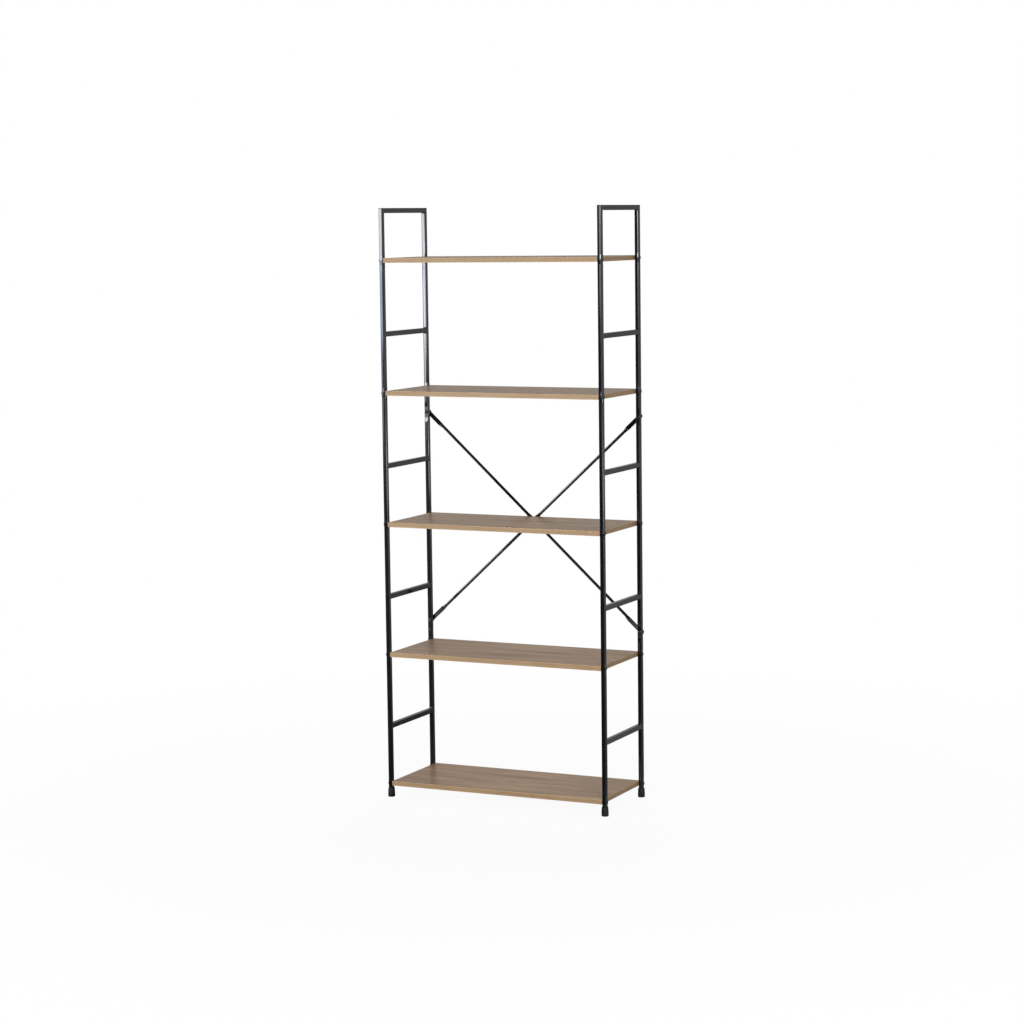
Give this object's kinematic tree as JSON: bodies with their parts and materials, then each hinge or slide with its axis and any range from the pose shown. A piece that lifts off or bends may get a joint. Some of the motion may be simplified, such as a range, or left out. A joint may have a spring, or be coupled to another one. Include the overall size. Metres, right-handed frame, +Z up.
{
  "type": "shelving unit",
  "caption": "Free-standing open shelving unit: oak-effect boards bolted between black round-tube ladder frames, stiffened by crossed brace tubes behind.",
  "frame": {"origin": "on the floor, under the middle of the unit's outline", "axes": "+X to the right seen from the front, +Y to the back, +Z up"},
  "size_m": [0.614, 0.2596, 1.5],
  "materials": {
    "black_powder_coat": "gloss black powder coat on steel tube",
    "oak_foil_board": "matt oak-effect foil on fibreboard, grain along the width",
    "oak_edging": "light oak-effect edge strip, satin",
    "black_plastic": "moulded black plastic, fine matt texture",
    "black_bolt": "glossy black plated steel",
    "zinc_sleeve": "zinc-plated steel"
  },
  "bodies": {
    "root": {"left_front_post": "black_powder_coat", "left_rear_post": "black_powder_coat", "left_top_bar": "black_powder_coat", "left_rung_1": "black_powder_coat", "left_rung_2": "black_powder_coat", "left_rung_3": "black_powder_coat", "left_rung_4": "black_powder_coat", "left_front_cap": "black_plastic", "left_front_foot": "black_plastic", "left_rear_cap": "black_plastic", "left_rear_foot": "black_plastic", "right_front_post": "black_powder_coat", "right_rear_post": "black_powder_coat", "right_top_bar": "black_powder_coat", "right_rung_1": "black_powder_coat", "right_rung_2": "black_powder_coat", "right_rung_3": "black_powder_coat", "right_rung_4": "black_powder_coat", "right_front_cap": "black_plastic", "right_front_foot": "black_plastic", "right_rear_cap": "black_plastic", "right_rear_foot": "black_plastic", "shelf_1_board": "oak_foil_board", "shelf_1_edging": "oak_edging", "shelf_2_board": "oak_foil_board", "shelf_2_edging": "oak_edging", "shelf_3_board": "oak_foil_board", "shelf_3_edging": "oak_edging", "shelf_4_board": "oak_foil_board", "shelf_4_edging": "oak_edging", "shelf_5_board": "oak_foil_board", "shelf_5_edging": "oak_edging", "shelf_bolts": "black_bolt", "shelf_bolt_sleeves": "zinc_sleeve", "brace_tube_front": "black_powder_coat", "brace_tube_rear": "black_powder_coat", "brace_rivet": "black_bolt", "brace_bolts": "black_bolt", "brace_cap_nuts": "black_bolt"}
  },
  "joints": []
}
